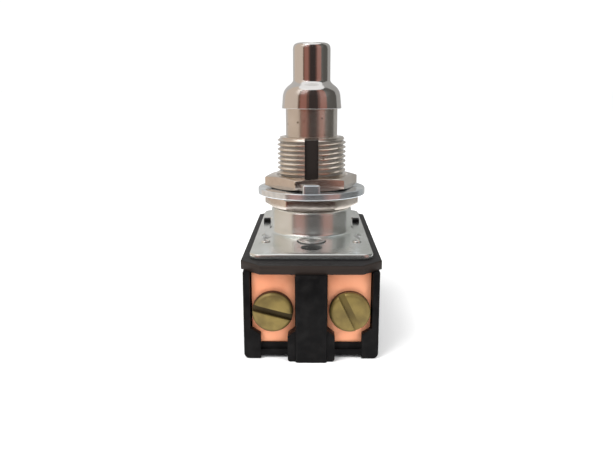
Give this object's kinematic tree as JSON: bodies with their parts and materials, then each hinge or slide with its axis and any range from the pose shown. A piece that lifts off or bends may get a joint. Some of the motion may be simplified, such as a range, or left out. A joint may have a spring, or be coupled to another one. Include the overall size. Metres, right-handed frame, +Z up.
{
  "type": "industrial push button",
  "caption": "Panel-mounting push button: chrome cap on a sprung plunger in a threaded bushing, over a black contact block with screw terminals at both ends.",
  "frame": {"origin": "under the plunger's axis, on the plane the block's feet stand on", "axes": "+Z up along the plunger, +Y to the rear end of the block, +X to the right as seen from the front terminals"},
  "size_m": [0.0286, 0.0576, 0.0641],
  "materials": {
    "phenolic": "moulded satin",
    "cover_laminate": "dark laminate, brown cut edge",
    "zinc_steel": "bright zinc plate, slightly worn",
    "nickel": "satin nickel plate",
    "chrome": "polished chrome plate",
    "copper": "satin copper",
    "brass": "dull brass",
    "silver": "silver contact face",
    "spring_steel": "drawn wire",
    "carrier_plastic": "moulded matt"
  },
  "bodies": {
    "housing": {"contact_block": "phenolic", "cover_plate": "cover_laminate", "mounting_plate": "zinc_steel", "threaded_bushing": "nickel", "lower_nut": "nickel", "inner_guide_plate": "cover_laminate", "return_spring": "spring_steel", "break_contacts": "silver", "make_contacts": "silver", "corner_rivets": "zinc_steel", "disc_rivets": "zinc_steel", "terminal_front_left": "copper", "terminal_screw_front_left": "brass", "terminal_front_right": "copper", "terminal_screw_front_right": "brass", "terminal_rear_left": "copper", "terminal_screw_rear_left": "brass", "terminal_rear_right": "copper", "terminal_screw_rear_right": "brass"},
    "plunger": {"plunger_sleeve": "nickel", "button_cap": "chrome", "retaining_ring": "spring_steel", "stem_guide": "nickel", "overtravel_spring": "spring_steel"},
    "stem": {"actuator_stem": "brass"},
    "carrier": {"contact_carrier": "carrier_plastic", "contact_bridge": "copper", "bridge_contacts": "silver", "contact_spring": "spring_steel"},
    "washer": {"tab_washer": "zinc_steel"},
    "panel_nut": {"upper_nut": "nickel"}
  },
  "joints": [
    {"name": "button_press", "type": "slide", "parent": "housing", "child": "plunger", "axis": [0, 0, -1], "range_m": [0, 0.0058], "stiffness_N_per_m": 900, "springref_m": -0.009, "deforming": ["overtravel_spring"]},
    {"name": "stem_slide", "type": "slide", "parent": "housing", "child": "stem", "axis": [0, 0, -1], "range_m": [0, 0.00153]},
    {"name": "carrier_slide", "type": "slide", "parent": "housing", "child": "carrier", "axis": [0, 0, -1], "range_m": [0, 0.00153], "deforming": ["return_spring"]},
    {"name": "washer_lift", "type": "slide", "parent": "housing", "child": "washer", "axis": [0, 0, 1], "range_m": [0, 0.00529]},
    {"name": "nut_turn", "type": "hinge", "parent": "washer", "child": "panel_nut", "pos_m": [0, 0, 0.0332], "axis": [0, 0, 1], "range_deg": [0, 1800]}
  ],
  "couplings": [
    {"joint": "stem_slide", "follows": "button_press", "ratio": 0.26379},
    {"joint": "carrier_slide", "follows": "button_press", "ratio": 0.26379},
    {"joint": "washer_lift", "follows": "nut_turn", "m_per_rad": 0.00016844}
  ]
}
